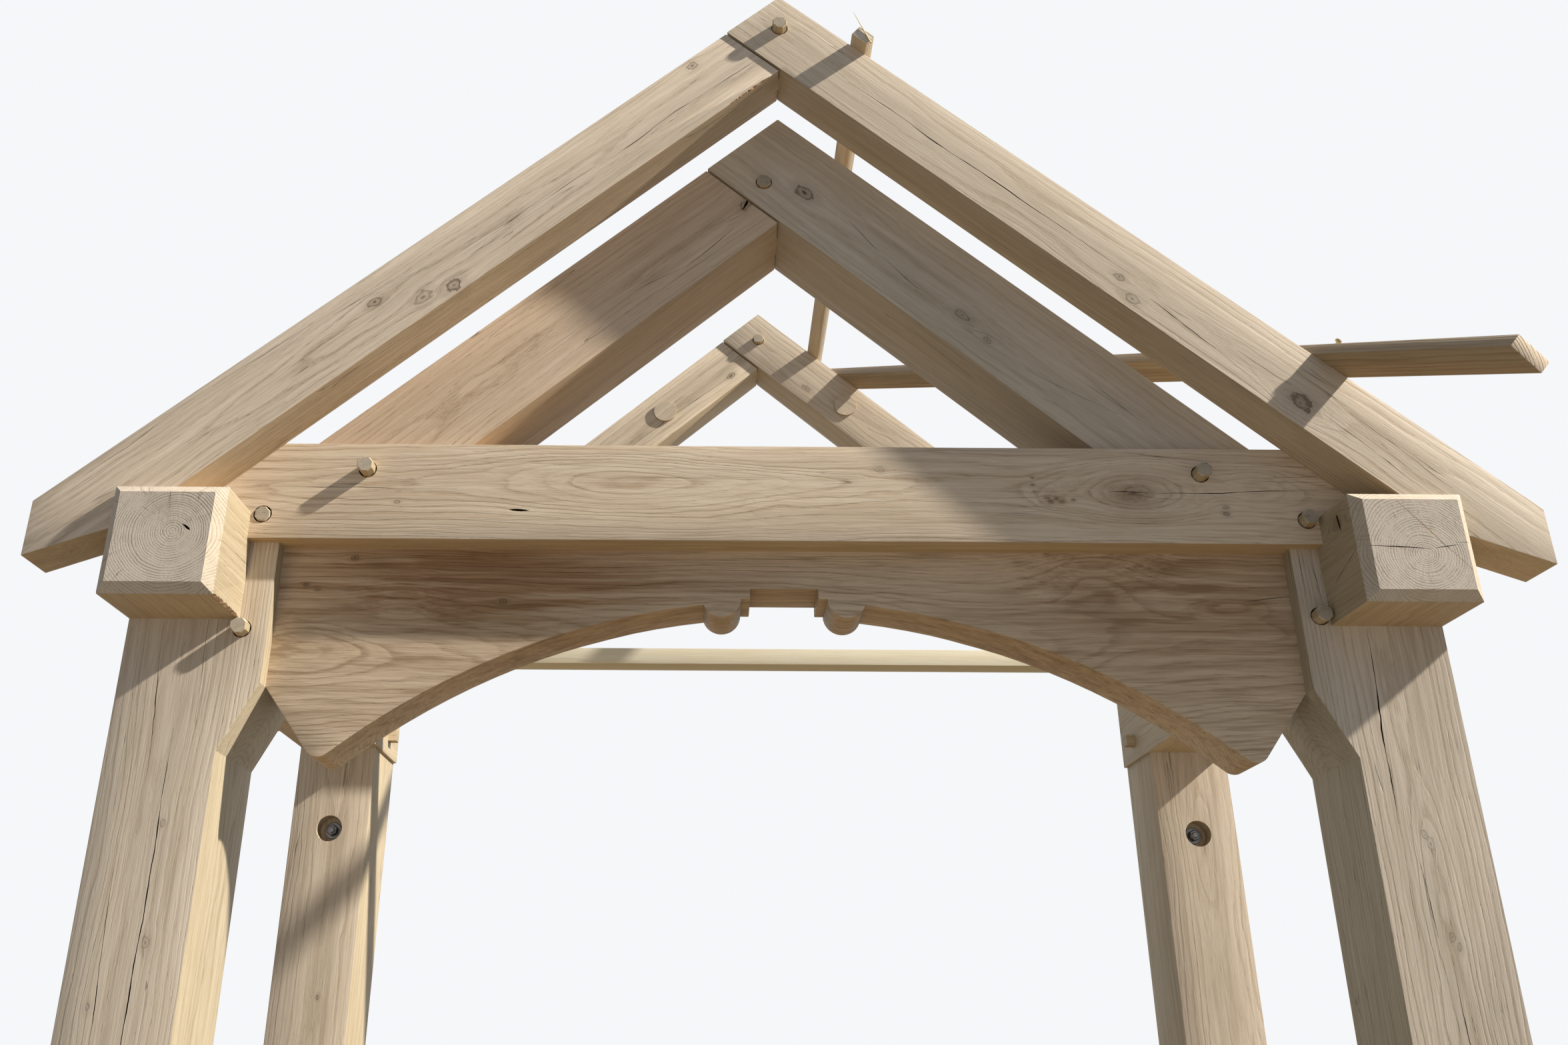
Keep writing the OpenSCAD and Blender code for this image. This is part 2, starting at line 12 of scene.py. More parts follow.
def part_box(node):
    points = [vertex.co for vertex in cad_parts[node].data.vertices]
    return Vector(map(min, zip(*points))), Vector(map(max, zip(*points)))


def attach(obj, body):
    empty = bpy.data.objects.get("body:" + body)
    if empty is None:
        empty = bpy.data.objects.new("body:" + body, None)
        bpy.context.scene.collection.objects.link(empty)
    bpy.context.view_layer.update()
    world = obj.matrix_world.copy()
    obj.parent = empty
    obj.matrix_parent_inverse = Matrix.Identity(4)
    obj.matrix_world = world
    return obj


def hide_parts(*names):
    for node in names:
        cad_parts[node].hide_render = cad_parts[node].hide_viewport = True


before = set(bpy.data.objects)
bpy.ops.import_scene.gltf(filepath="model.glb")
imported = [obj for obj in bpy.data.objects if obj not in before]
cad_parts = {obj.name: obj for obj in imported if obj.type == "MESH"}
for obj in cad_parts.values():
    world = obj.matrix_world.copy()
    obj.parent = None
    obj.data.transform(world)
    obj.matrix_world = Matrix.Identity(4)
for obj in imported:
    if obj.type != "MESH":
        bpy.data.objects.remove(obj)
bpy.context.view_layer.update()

MM = 0.001
PITCH = math.radians(41)
LEFT, RIGHT = -1, 1

# The photograph's frame in pixels, and the camera that was fitted to it
IMAGE_W = 2352
FOCAL_PX = 1942.2
CENTRE_SHIFT_PX = (-106.4, 3.6)
CAMERA_AT = (-0.1038, -2.0734, 1.5384)
LOOK_UP, LOOK_RIGHT, LOOK_ROLL = 22.17, 0.02, 0.35
SENSOR_MM = 36.0

# Corners nearer than this are one, and these angles tell flat, curved, crisp and arris apart
WELD_M = 1e-6
FLAT_ANGLE = math.radians(0.3)
CURVE_ANGLES = (math.radians(0.4), math.radians(12))
CRISP_ANGLE = math.radians(20)
ARRIS_ANGLE = math.radians(50)
ROUND_SIDES = 12

# Linear colours of the materials
OAK_LIGHT = (0.85, 0.723, 0.568)
OAK_DARK = (0.62, 0.50, 0.36)
PEG_LIGHT = (0.80, 0.68, 0.50)
PEG_DARK = (0.54, 0.41, 0.26)
RIDGE_PINE = {"light": (0.93, 0.80, 0.62), "dark": (0.74, 0.57, 0.40)}
SPREADER_PINE = {"light": (0.99, 0.93, 0.73), "dark": (0.92, 0.82, 0.59)}
BRACE_PINE = {"light": (0.64, 0.50, 0.34), "dark": (0.44, 0.31, 0.18)}
PORE = (0.30, 0.21, 0.13)
# Near-black for the checks and hairlines: painted shade inside them
CRACK_SHADE = (0.055, 0.035, 0.022)
TORN = (0.33, 0.22, 0.13)
FRESH = (0.66, 0.55, 0.43)
KNOT = (0.14, 0.085, 0.05)
ZINC = (0.26, 0.255, 0.25)
YELLOW_ZINC = (0.62, 0.52, 0.30)
PALE = (0.55, 0.55, 0.545)
PAVING = (0.21, 0.20, 0.185)
SKY = (0.172, 0.197, 0.24)
BACKDROP = (0.92, 0.93, 0.95)

# What a wood's colour is multiplied by on its sides, undersides and tops, and where it has aged
# The side, underside and top tints are painted shade, the sides' yellower tone partly their own;
# the grey is partly painted shade
SIDE_TONE_AND_SHADE = (0.60, 0.585, 0.505)
UNDER_PAINTED_SHADE = (0.76, 0.64, 0.46)
TOP_PAINTED_SHADE = (0.60, 0.60, 0.595)
STAIN_TINT = (0.62, 0.48, 0.36)
GREY_TINT = (0.80, 0.84, 0.90)

# The grain's relief in metres, and the radius in mm from which a knot has a soft rim
RELIEF = 0.00045
LARGE_KNOT = 14

# Drying checks in mm: a point of the line each step, a wander that grows with the length up to
# the full one, and a cutter that starts above the face
CHECK_STEP = 14
FULL_WANDER_LENGTH = 120
LONG_WANDER = 4.0
SHORT_WANDER = 1.0
NARROWEST_HALF = 0.14
DEPTH_PER_WIDTH = 14
DEEPEST_CHECK = 40
ABOVE_FACE = -1.0

# The sun as in the photograph, and the soft light from behind: strength, width and where it is
SUN_STRENGTH = 6.5
SUN_WIDTH_DEG = 1.4
SUN_TOWARD = (0.773, -0.183, 0.607)
SUN_COLOUR = (1.0, 0.945, 0.855)
BACK_STRENGTH = 0.9
BACK_WIDTH_DEG = 70
BACK_TOWARD = (-0.05, 0.92, 0.38)
FLOOR_RADIUS = 30


class Lie:
    """How a timber lies: a start on its show face, its grain, and the ways across and out of it."""

    def __init__(self, start, along, across, out):
        self.start = Vector(start)
        self.along = Vector(along).normalized()
        self.across = Vector(across).normalized()
        self.out = Vector(out).normalized()

    def at(self, along, across, deep=0.0):
        """The point that lies so many mm along, across and into the timber."""
        return self.start + (self.along * along + self.across * across - self.out * deep) * MM


class Nodes:
    """One material's nodes, with a short call for each kind that the woods use."""

    def __init__(self, name):
        self.material = bpy.data.materials.new(name)
        self.material.use_nodes = True
        self.tree = self.material.node_tree
        self.tree.nodes.clear()

    def new(self, kind, values=(), **settings):
        node = self.tree.nodes.new("ShaderNode" + kind)
        for setting, value in settings.items():
            setattr(node, setting, value)
        for socket, value in dict(values).items():
            if isinstance(value, bpy.types.NodeSocket):
                self.tree.links.new(value, node.inputs[socket])
            else:
                node.inputs[socket].default_value = value
        return node

    def math(self, operation, *values, clamp=False):
        return self.new("Math", enumerate(values), operation=operation, use_clamp=clamp).outputs[0]

    def vector(self, operation, *values):
        node = self.new("VectorMath", enumerate(values), operation=operation)
        return node.outputs["Value" if operation in ("DOT_PRODUCT", "LENGTH") else "Vector"]

    def join(self, x, y, z):
        return self.new("CombineXYZ", {0: x, 1: y, 2: z}).outputs[0]

    def noise(self, position, stretch, seed, detail=2.0, roughness=0.5, colour=False):
        """Noise with so many lumps a metre along each axis, moved by the seed."""
        offset = (seed * 7.13, seed * 3.71, seed * 5.37)
        place = self.vector("MULTIPLY_ADD", position, stretch, offset)
        values = {"Vector": place, "Scale": 1.0, "Detail": detail, "Roughness": roughness}
        return self.new("TexNoise", values).outputs["Color" if colour else "Fac"]

    def ramp(self, value, low, high, to_low=0.0, to_high=1.0):
        """The value carried smoothly from one range to another and held at its ends."""
        values = {"Value": value, "From Min": low, "From Max": high,
                  "To Min": to_low, "To Max": to_high}
        return self.new("MapRange", values, interpolation_type="SMOOTHSTEP").outputs[0]

    def mix(self, factor, a, b, blend="MIX"):
        values = {0: factor, 6: opaque(a), 7: opaque(b)}
        return self.new("Mix", values, data_type="RGBA", blend_type=blend).outputs[2]

    def surface(self, values, height=None, depth=0.0):
        """Principled surface, with a bump of that depth where a height is given."""
        shader = self.new("BsdfPrincipled", values)
        if height is not None:
            bump = self.new("Bump", {"Height": height, "Distance": depth, "Strength": 1.0})
            self.tree.links.new(bump.outputs[0], shader.inputs["Normal"])
        self.new("OutputMaterial", {"Surface": shader.outputs[0]})


def opaque(colour):
    """A colour as the nodes take it; a socket stays as it is."""
    return colour if isinstance(colour, bpy.types.NodeSocket) else (*colour, 1.0)


def toned(colour, tone):
    return tuple(c * t for c, t in zip(colour, tone))


def bell(n, local, along, across, reach):
    """The way from a place on the show face, and a bell of 1 there that fades over its reach."""
    away = n.vector("SUBTRACT", local, (along * MM, across * MM, 0.0))
    near = n.vector("MULTIPLY", away, tuple(1 / (r * MM) for r in reach))
    fade = n.math("EXPONENT", n.math("MULTIPLY", n.vector("DOT_PRODUCT", near, near), -1.0))
    return away, fade


def bend_grain(n, local, bent, swells, knots):
    """Lifts the rings in each swell, so that they show as ovals, and parts them round each knot."""
    for along, across, half_length, half_width, height in swells:
        _, fade = bell(n, local, along, across, (half_length, half_width, 60))
        lift = n.math("MULTIPLY", fade, height * MM)
        bent = n.vector("ADD", bent, n.join(0.0, 0.0, lift))
    for along, across, size, _ in knots:
        away, fade = bell(n, local, along, across, (4.5 * size, 1.9 * size, 3 * size))
        aside = n.vector("MULTIPLY", away, (0, 0.9, 0))
        push = n.new("VectorMath", {0: aside, 3: fade}, operation="SCALE")
        bent = n.vector("SUBTRACT", bent, push.outputs[0])
    return bent


def knot_shade(n, local, rough, knots):
    """How dark the knots make each point: a rim, a heart, uneven rings and a soft stain around."""
    shade = None
    for along, across, size, dark in knots:
        away = n.vector("SUBTRACT", local, (along * MM, across * MM, 0.0))
        away = n.vector("MULTIPLY", away, tuple(k / (size * MM) for k in (0.62, 1.0, 0.3)))
        distance = n.math("ADD", rough, n.vector("LENGTH", away))
        ring = n.ramp(n.math("FRACT", n.math("MULTIPLY", distance, 2.7)), 0.0, 1.0, 0.6, 1.0)
        core = n.math("MULTIPLY", n.ramp(distance, 1.0, 1.5, dark * 0.62, 0.0), ring)
        rim_dark = dark * (0.9 if size < LARGE_KNOT else 0.3)
        off_rim = n.math("ABSOLUTE", n.math("SUBTRACT", distance, 1.25))
        rim = n.ramp(off_rim, 0.04, 0.26, rim_dark, 0.0)
        heart = n.ramp(distance, 0.45, 0.85, dark * 1.15, 0.0)
        stain = n.ramp(distance, 1.1, 3.0, dark * 0.25, 0.0)
        mark = n.math("MAXIMUM", n.math("MAXIMUM", core, rim), n.math("MAXIMUM", heart, stain))
        shade = mark if shade is None else n.math("MAXIMUM", shade, mark)
    return shade


def wood(name, lie, pith, seed, light=OAK_LIGHT, dark=OAK_DARK, spacing=3.8, lean=(0.0, 0.0),
         wave=6.0, ripple=1.4, pores=0.4, hairs=0.0, knots=(), swells=(), stains=(), grey=0.0,
         contrast=1.0, figure=0.0, end_tone=0.88):
    """Solid wood: growth rings round a wandering heart, fibres, pores, knots and hairlines.
    The pith is so many mm across and into the timber, and leans by so much a metre."""
    n = Nodes(name)
    position = n.new("TexCoord").outputs["Object"]
    normal = n.new("NewGeometry").outputs["Normal"]
    away = n.vector("SUBTRACT", position, tuple(lie.start))
    u = n.vector("DOT_PRODUCT", away, tuple(lie.along))
    v = n.vector("DOT_PRODUCT", away, tuple(lie.across))
    w = n.vector("DOT_PRODUCT", away, tuple(-lie.out))
    local = n.join(u, v, w)

    # The grain wanders in long waves and in small ripples
    long_wave = n.noise(local, (1.7, 5.0, 5.0), seed, detail=1.0, colour=True)
    small_wave = n.noise(local, (9.0, 34.0, 34.0), seed + 1, detail=2.0, colour=True)
    bent = n.vector("MULTIPLY_ADD", n.vector("SUBTRACT", long_wave, (0.5, 0.5, 0.5)),
                    (0, wave * 4 * MM, wave * 4 * MM), local)
    bent = n.vector("MULTIPLY_ADD", n.vector("SUBTRACT", small_wave, (0.5, 0.5, 0.5)),
                    (0, ripple * 4 * MM, ripple * 4 * MM), bent)
    bent = bend_grain(n, local, bent, swells, knots)

    heart = n.vector("MULTIPLY_ADD", n.join(0.0, u, u), (0, lean[0], lean[1]),
                     (0, pith[0] * MM, pith[1] * MM))
    radial = n.vector("MULTIPLY", n.vector("SUBTRACT", bent, heart), (0, 1, 1))
    radius = n.vector("LENGTH", radial)
    parts = n.new("SeparateXYZ", {0: radial})
    angle = n.math("ARCTAN2", parts.outputs[2], parts.outputs[1])

    # Rings of uneven width: a narrow porous line where each starts, then even wood
    uneven = n.noise(n.join(radius, 0.0, 0.0), (55.0, 1, 1), seed + 2, detail=1.0)
    count = n.math("MULTIPLY_ADD", radius, 1 / (spacing * MM), n.math("MULTIPLY", uneven, 2.4))
    phase = n.math("FRACT", count)
    band = n.math("MAXIMUM", n.ramp(phase, 0.0, 0.42, 1.0, 0.0), n.ramp(phase, 0.88, 1.0))
    strength = n.noise(n.join(radius, u, 0.0), (120.0, 0.6, 1), seed + 3, detail=1.0)
    band = n.math("MULTIPLY", band, n.ramp(strength, 0.25, 0.75, 0.3, 1.0))

    fibre = n.noise(bent, (9.0, 420.0, 420.0), seed + 4, detail=3.0, roughness=0.6)
    streak = n.noise(bent, (2.4, 85.0, 85.0), seed + 5, detail=2.0)
    blotch = n.noise(local, (3.0, 9.0, 9.0), seed + 6, detail=2.0)
    marks = [(band, 0.46 * contrast, 0.3), (streak, 1.1 * contrast, 0.5),
             (fibre, 1.5 * contrast, 0.5), (blotch, 0.8, 0.5)]
    if figure:
        dashes = n.noise(bent, (7.0, 95.0, 95.0), seed + 11, detail=2.0, roughness=0.55)
        marks.append((n.ramp(dashes, 0.52, 0.72), figure, 0.2))
    grain = 0.5 - sum(weight * middle for _, weight, middle in marks)
    for mark, weight, _ in marks:
        grain = n.math("MULTIPLY_ADD", mark, weight, grain)
    colour = n.mix(n.math("MINIMUM", grain, 1.0, clamp=True), light, dark)

    # End grain is greyer, with broken rings, fine specks and the marks of the saw
    end = n.ramp(n.math("ABSOLUTE", n.vector("DOT_PRODUCT", normal, tuple(lie.along))), 0.6, 0.85)
    patch = n.noise(n.join(angle, radius, 0.0), (2.2, 40.0, 1), seed + 7, detail=2.0)
    speck = n.noise(position, (520.0, 520.0, 520.0), seed + 12, detail=3.0, roughness=0.7)
    sawn = n.noise(n.join(v, w, 0.0), (60.0, 380.0, 1), seed + 13, detail=2.0)
    end_mark = n.math("MULTIPLY", band, n.ramp(patch, 0.35, 0.65, 0.35, 1.3))
    end_mark = n.math("MULTIPLY_ADD", speck, 1.3, end_mark)
    end_mark = n.math("MULTIPLY_ADD", sawn, 0.6, end_mark)
    end_mark = n.math("MULTIPLY_ADD", blotch, 0.9, end_mark)
    end_colour = n.mix(n.math("MULTIPLY_ADD", end_mark, 1.9, -2.75, clamp=True),
                       toned(light, (end_tone, end_tone * 1.02, end_tone * 1.08)),
                       toned(dark, (end_tone * 0.80, end_tone * 0.84, end_tone * 0.92)))
    colour = n.mix(end, colour, end_colour)

    height = n.math("MULTIPLY_ADD", fibre, 0.5, n.math("MULTIPLY", band, -0.35))
    if pores:
        pit = n.noise(bent, (48.0, 1100.0, 1100.0), seed + 8, detail=1.0)
        pore = n.math("MULTIPLY", n.ramp(pit, 0.60, 0.70), n.ramp(band, 0.1, 0.9, 0.25, 1.0))
        colour = n.mix(n.math("MULTIPLY", pore, pores), colour, PORE)
        height = n.math("MULTIPLY_ADD", pore, -0.6, height)
    if hairs:
        line = n.noise(n.join(angle, u, radius), (5.0, 0.8, 2.0), seed + 9, detail=3.0,
                       roughness=0.4)
        line = n.math("ABSOLUTE", n.math("SUBTRACT", line, 0.5))
        broken = n.noise(local, (7.0, 14.0, 14.0), seed + 10, detail=1.0)
        thin = n.ramp(line, 0.0008, 0.0030, 1.0, 0.0)
        hair = n.math("MULTIPLY", thin, n.ramp(broken, 0.50, 0.60))
        # Hairlines drawn in near-black: painted shade in their openings
        colour = n.mix(n.math("MULTIPLY", hair, hairs), colour, CRACK_SHADE)
        height = n.math("MULTIPLY_ADD", hair, -1.2, height)
    if knots:
        crumb = n.noise(local, (80.0, 110.0, 110.0), seed + 14, detail=2.0)
        rough = n.math("MULTIPLY_ADD", crumb, 1.3, n.math("MULTIPLY_ADD", streak, 0.9, -0.65))
        shade = knot_shade(n, local, rough, knots)
        colour = n.mix(shade, colour, KNOT)
        height = n.math("MULTIPLY_ADD", shade, -0.5, height)

    # Painted shade by facing: the sides are darker and yellower than the weather-worn front
    # (partly their own tone), the undersides browner and darker, and the tops duller
    facing = n.new("SeparateXYZ", {0: normal})
    side = n.ramp(n.math("ABSOLUTE", facing.outputs[0]), 0.45, 1.0)
    colour = n.mix(side, colour, n.mix(1.0, colour, SIDE_TONE_AND_SHADE, "MULTIPLY"))
    under_shade_mask = n.ramp(facing.outputs[2], -0.5, -1.0)
    colour = n.mix(under_shade_mask, colour, n.mix(1.0, colour, UNDER_PAINTED_SHADE, "MULTIPLY"))
    over = n.ramp(facing.outputs[2], 0.71, 0.75)
    colour = n.mix(over, colour, n.mix(1.0, colour, TOP_PAINTED_SHADE, "MULTIPLY"))
    for along, across, reach_along, reach_across, depth in stains:
        _, fade = bell(n, local, along, across, (reach_along, reach_across, 400))
        cloud = n.math("MULTIPLY", fade, n.ramp(streak, 0.25, 0.7, depth * 0.4, depth))
        colour = n.mix(cloud, colour, n.mix(1.0, colour, STAIN_TINT, "MULTIPLY"))
    # Greyed wood: weathering, and partly painted shade on timbers that stand in shade
    if grey:
        grey_weathering_and_shade = n.mix(1.0, colour, GREY_TINT, "MULTIPLY")
        stain = n.ramp(blotch, 0.35, 0.65, grey * 0.6, grey)
        colour = n.mix(stain, colour, grey_weathering_and_shade)

    roughness = n.math("MULTIPLY_ADD", fibre, 0.16, 0.58)
    n.surface({"Base Color": colour, "Roughness": roughness, "Specular IOR Level": 0.28},
              height, RELIEF)
    return n.material


def broken_material(name, colour):
    """Wood inside a crack or where it was torn; the crack's near-black colour is painted shade."""
    n = Nodes(name)
    position = n.new("TexCoord").outputs["Object"]
    fibre = n.noise(position, (260.0, 260.0, 260.0), 3, detail=2.0)
    colour = n.mix(fibre, toned(colour, (0.7, 0.7, 0.7)), toned(colour, (1.9, 1.8, 1.7)))
    n.surface({"Base Color": colour, "Roughness": 0.95, "Specular IOR Level": 0.05}, fibre, 0.0006)
    return n.material


def metal_material(name, tint):
    n = Nodes(name)
    position = n.new("TexCoord").outputs["Object"]
    cloud = n.noise(position, (160.0, 160.0, 160.0), 5, detail=4.0)
    scratch = n.noise(position, (2400.0, 300.0, 300.0), 6, detail=2.0)
    colour = n.mix(cloud, toned(tint, (0.7, 0.7, 0.7)), tint)
    roughness = n.math("MULTIPLY_ADD", cloud, 0.25, 0.28)
    n.surface({"Base Color": colour, "Metallic": 1.0, "Roughness": roughness}, scratch, 0.00005)
    return n.material


def carries_on(edge):
    """Whether the faces at the edge are steps of one curve."""
    low, high = CURVE_ANGLES
    return edge.is_manifold and low < edge.calc_face_angle() < high


def solid_of(node):
    """Welded copy of a CAD node's mesh: each flat region is one face, and curves are smooth."""
    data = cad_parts[node].data.copy()
    stale = data.attributes.get("custom_normal")
    if stale:
        data.attributes.remove(stale)
    mesh = bmesh.new()
    mesh.from_mesh(data)
    bpy.data.meshes.remove(data)
    bmesh.ops.remove_doubles(mesh, verts=mesh.verts, dist=WELD_M)
    bmesh.ops.dissolve_limit(mesh, angle_limit=FLAT_ANGLE, verts=mesh.verts, edges=mesh.edges)
    for face in mesh.faces:
        face.smooth = any(carries_on(edge) for edge in face.edges)
    return mesh


def tree_of(node):
    mesh = solid_of(node)
    tree = BVHTree.FromBMesh(mesh)
    mesh.free()
    return tree


def is_covered(point, node):
    """Whether the point lies inside another piece of the frame."""
    for other, tree in TREES.items():
        if other != node:
            place, normal, _, _ = tree.find_nearest(point)
            if (point - place).dot(normal) < 0:
                return True
    return False


def ease_arrises(mesh, node, width, shortest):
    """Takes the sharpness off each arris that shows and is at least so long; both are in metres."""
    chosen = []
    for edge in mesh.edges:
        if edge.is_manifold and edge.is_convex and edge.calc_length() >= shortest:
            if edge.calc_face_angle() > ARRIS_ANGLE:
                outward = edge.link_faces[0].normal + edge.link_faces[1].normal
                middle = (edge.verts[0].co + edge.verts[1].co) / 2
                if not is_covered(middle + outward.normalized() * 3 * MM, node):
                    chosen.append(edge)
    bmesh.ops.bevel(mesh, geom=chosen, offset=width, offset_type="OFFSET", segments=2, profile=0.6,
                    affect="EDGES", clamp_overlap=False)


def object_of(mesh, name, materials):
    """Object from a bmesh, with its arrises kept crisp."""
    data = bpy.data.meshes.new(name)
    mesh.to_mesh(data)
    mesh.free()
    data.set_sharp_from_angle(angle=CRISP_ANGLE)
    for material in materials:
        data.materials.append(material)
    piece = bpy.data.objects.new(name, data)
    bpy.context.collection.objects.link(piece)
    return piece


def dress(piece, slot, *nodes):
    """Fixes a finished piece to the frame in place of the nodes it stands for."""
    if nodes:
        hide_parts(*nodes)
    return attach(piece, "root")


def add_groove(mesh, lie, start, end, side_start, side_end, width, seed, deepest=None):
    """Adds a V-shaped cutter to the mesh: a drying check that wanders along the grain, in mm."""
    length = abs(end - start)
    steps = max(5, round(length / CHECK_STEP))
    share = min(1.0, length / FULL_WANDER_LENGTH)
    rows = []
    for i in range(steps + 1):
        t = i / steps
        along = start + (end - start) * t
        wander = noise.noise(Vector((along * 0.011, seed * 3.7, 0.5))) * LONG_WANDER
        wander += noise.noise(Vector((along * 0.06, seed * 1.3, 7.5))) * SHORT_WANDER
        straight = side_start + (side_end - side_start) * t
        side = straight + wander * share * math.sin(math.pi * t) ** 0.5
        uneven = 0.75 + 0.7 * noise.noise(Vector((along * 0.05, seed * 2.1, 3.5)))
        half = max(NARROWEST_HALF, width * 0.43 * uneven * math.sin(math.pi * t) ** 0.6)
        deep = min(1.0 + half * DEPTH_PER_WIDTH, deepest or DEEPEST_CHECK)
        reach = half * 1.2
        points = ((side - reach, ABOVE_FACE), (side + reach, ABOVE_FACE), (side, deep))
        rows.append([mesh.verts.new(lie.at(along, s, d)) for s, d in points])
    close_rows(mesh, rows)


def add_chip(mesh, lie, length, depth, seed):
    """Adds a cutter that tears a ragged strip off an arris; out is the arris's own diagonal."""
    steps = max(6, round(length / 4))
    rows = []
    for i in range(steps + 1):
        t = i / steps
        along = length * t
        fade = math.sin(math.pi * t) ** 0.4
        low = depth * fade * (0.9 + 1.1 * noise.noise(Vector((along * 0.17, seed * 3.1, 0.3))))
        high = depth * fade * (0.9 + 1.1 * noise.noise(Vector((along * 0.17, seed * 3.1, 8.3))))
        points = ((-14, -9.0), (14, -9.0), (14, high - 0.05), (-14, low - 0.05))
        rows.append([mesh.verts.new(lie.at(along, s, d)) for s, d in points])
    close_rows(mesh, rows)


def close_rows(mesh, rows):
    """Joins rows of points into one closed skin."""
    count = len(rows[0])
    for a, b in zip(rows, rows[1:]):
        for k in range(count):
            mesh.faces.new((a[k], a[(k + 1) % count], b[(k + 1) % count], b[k]))
    mesh.faces.new(rows[0][::-1])
    mesh.faces.new(rows[-1])


def drop_doubled(data):
    """Removes faces that lie back to back on the same corners, as a cut can leave them."""
    mesh = bmesh.new()
    mesh.from_mesh(data)
    bmesh.ops.triangulate(mesh, faces=[face for face in mesh.faces if len(face.verts) > 4])
    met = {}
    for face in mesh.faces:
        met.setdefault(frozenset(face.verts), []).append(face)
    doubled = [face for faces in met.values() if len(faces) > 1 for face in faces]
    bmesh.ops.delete(mesh, geom=doubled, context="FACES")
    mesh.to_mesh(data)
    mesh.free()


def cut(piece, mesh, material):
    """Cuts the mesh's closed solids out of the piece, which takes the material on the cut faces."""
    bmesh.ops.recalc_face_normals(mesh, faces=mesh.faces)
    cutter = object_of(mesh, "cutter", [material])
    modifier = piece.modifiers.new("cut", "BOOLEAN")
    modifier.object = cutter
    modifier.operation = "DIFFERENCE"
    modifier.solver = "EXACT"
    modifier.material_mode = "TRANSFER"
    depsgraph = bpy.context.evaluated_depsgraph_get()
    result = bpy.data.meshes.new_from_object(piece.evaluated_get(depsgraph))
    drop_doubled(result)
    result.set_sharp_from_angle(angle=CRISP_ANGLE)
    piece.modifiers.clear()
    piece.data = result
    bpy.data.objects.remove(cutter)


def cut_checks(piece, lie, checks, material):
    """Cuts drying checks into the piece: start, end, side at both, width and maybe a depth."""
    mesh = bmesh.new()
    for number, (start, end, side_start, side_end, width, *deepest) in enumerate(checks):
        seed = number + len(piece.name)
        add_groove(mesh, lie, start, end, side_start, side_end, width, seed, *deepest)
    cut(piece, mesh, material)


def tear_arris(piece, at, along, sides, length, depth, seed):
    """Tears a strip of so many mm off an arris that starts at a point and has these two sides."""
    out = Vector(sides[0]) + Vector(sides[1])
    lie = Lie(at, along, Vector(along).cross(out), out)
    mesh = bmesh.new()
    add_chip(mesh, lie, length, depth, seed)
    cut(piece, mesh, TORN_WOOD)


def timber(node, lie, checks=(), ease=1.5, shortest=12.0, slot="oak", **looks):
    """A finished timber in place of its node: eased arrises, drying checks and its own grain."""
    mesh = solid_of(node)
    ease_arrises(mesh, node, ease * MM, shortest * MM)
    material = wood(node + "_grain", lie, **looks)
    piece = object_of(mesh, node + "_wood", [material])
    if checks:
        cut_checks(piece, lie, checks, SHADED_CHECK_WALLS)
    return dress(piece, slot, node)


def turned(mesh, base, axis, profile, sides=24, turn=0.0):
    """Adds a closed solid turned about an axis from its profile of (mm along, mm out)."""
    axis = Vector(axis).normalized()
    first = axis.orthogonal().normalized()
    second = axis.cross(first)
    loops = []
    for along, radius in profile:
        centre = Vector(base) + axis * along * MM
        angles = [turn + 2 * math.pi * k / sides for k in range(sides)]
        loops.append([
            mesh.verts.new(centre + (first * math.cos(a) + second * math.sin(a)) * radius * MM)
            for a in angles
        ])
    for low, high in zip(loops, loops[1:]):
        for k in range(sides):
            face = mesh.faces.new((low[k], low[(k + 1) % sides], high[(k + 1) % sides], high[k]))
            face.smooth = sides > ROUND_SIDES
    mesh.faces.new(loops[0][::-1])
    mesh.faces.new(loops[-1])


def cleft_peg(node, seed):
    """Eight-sided peg split by hand: no two sides alike, its sawn end eased and a little askew."""
    low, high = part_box(node)
    middle = (low + high) / 2
    sides = 8
    radius = (high.x - low.x) / 2 / math.cos(math.pi / sides)
    chance = random.Random(seed)
    corners = [
        (math.radians(22.5 + 45 * k + chance.uniform(-6, 6)), chance.uniform(0.92, 1.0))
        for k in range(sides)
    ]
    lean = chance.uniform(0.02, 0.09)
    stations = ((0.0, 0.88), (1.6, 0.97), (14.0, 0.985), ((high.y - low.y) / MM, 0.95))
    mesh = bmesh.new()
    loops = []
    for along, share in stations:
        loop = []
        for angle, reach in corners:
            x = math.cos(angle) * radius * reach * share
            z = math.sin(angle) * radius * reach * share
            tilt = lean * (radius + x) if along < 2 else 0.0
            loop.append(mesh.verts.new((middle.x + x, low.y + along * MM + tilt, middle.z + z)))
        loops.append(loop)
    close_rows(mesh, loops)
    bmesh.ops.recalc_face_normals(mesh, faces=mesh.faces)
    lie = Lie((middle.x, low.y, middle.z), (0, 1, 0), (1, 0, 0), (0, 0, 1))
    pith = (chance.uniform(-26, 26), chance.uniform(14, 30))
    material = wood(node + "_grain", lie, pith, seed, PEG_LIGHT, PEG_DARK, spacing=2.8, wave=2,
                    ripple=1.0, end_tone=0.66)
    dress(object_of(mesh, node + "_wood", [material]), "peg_oak", node)


